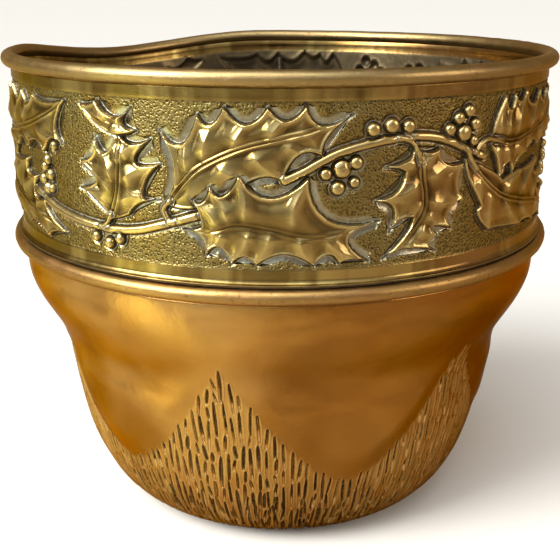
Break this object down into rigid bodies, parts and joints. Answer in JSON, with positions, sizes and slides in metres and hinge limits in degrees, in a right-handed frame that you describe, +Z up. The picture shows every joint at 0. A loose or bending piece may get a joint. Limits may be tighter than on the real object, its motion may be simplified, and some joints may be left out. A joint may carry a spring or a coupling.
{
  "type": "planter pot",
  "caption": "Round planter pot: an embossed leaf-and-berry band with a wired rim stands on a lobed, chased bowl with a wired bead and a flat base.",
  "frame": {"origin": "centre of the flat base, on the surface that the pot stands on", "axes": "+Z up along the pot's axis, -Y towards the front, +X to the right of someone who faces the front"},
  "size_m": [0.2408, 0.2408, 0.2044],
  "materials": {
    "band_brass": "embossed sheet brass, polished high spots over an aged ground",
    "bowl_brass": "warm polished sheet brass with chased, darkened strokes low down",
    "iron_wire": "drawn iron wire, hidden inside the rolled edges",
    "solder": "dull tin solder"
  },
  "bodies": {
    "root": {"frieze_band": "band_brass", "rim_wire": "iron_wire", "seam_solder": "solder", "bowl": "bowl_brass", "bead_wire": "iron_wire", "joint_solder": "solder"}
  },
  "joints": []
}
